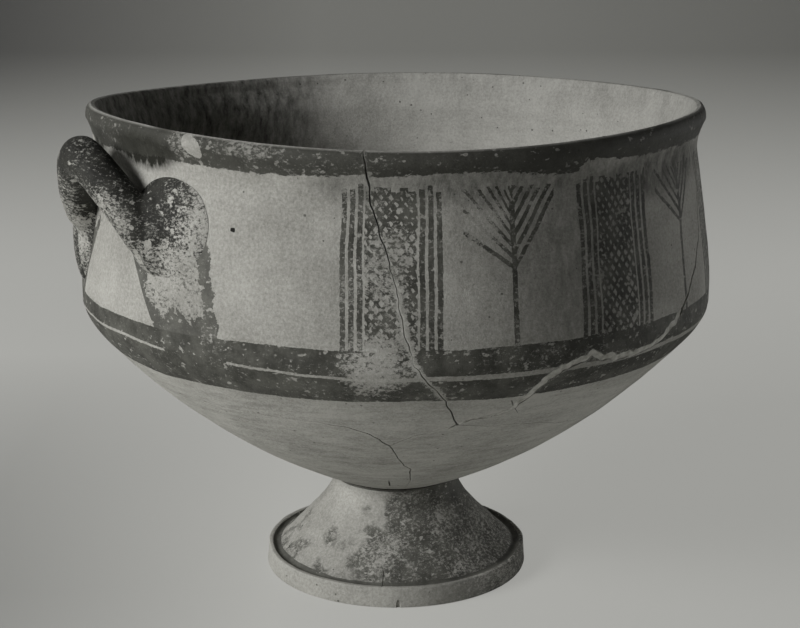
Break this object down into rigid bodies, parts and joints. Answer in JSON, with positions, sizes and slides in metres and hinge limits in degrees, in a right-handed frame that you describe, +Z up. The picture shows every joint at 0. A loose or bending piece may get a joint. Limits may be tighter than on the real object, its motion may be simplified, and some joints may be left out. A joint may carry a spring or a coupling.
{
  "type": "footed bowl",
  "caption": "Deep clay bowl on a spreading foot with loop handles, painted in dark slip and mended from sherds.",
  "frame": {"origin": "centre of the foot's underside, on the surface that it stands on", "axes": "+Z up through the bowl, X through both handles, -Y towards the side that carries the centred panel"},
  "size_m": [0.3556, 0.3148, 0.244],
  "materials": {
    "fired_clay": "smoothed by hand on the wheel, matt, with bands and patterns of dark slip",
    "slipped_clay": "dark slip, worn through to the clay in speckles",
    "plaster": "matt repair plaster"
  },
  "bodies": {
    "root": {"main_bowl_sherd": "fired_clay", "front_wall_sherd": "fired_clay", "lower_cone_left_sherd": "fired_clay", "lower_cone_right_sherd": "fired_clay", "plaster_fill": "plaster", "pedestal_foot": "slipped_clay", "handle_left": "slipped_clay", "handle_right": "slipped_clay"}
  },
  "joints": []
}
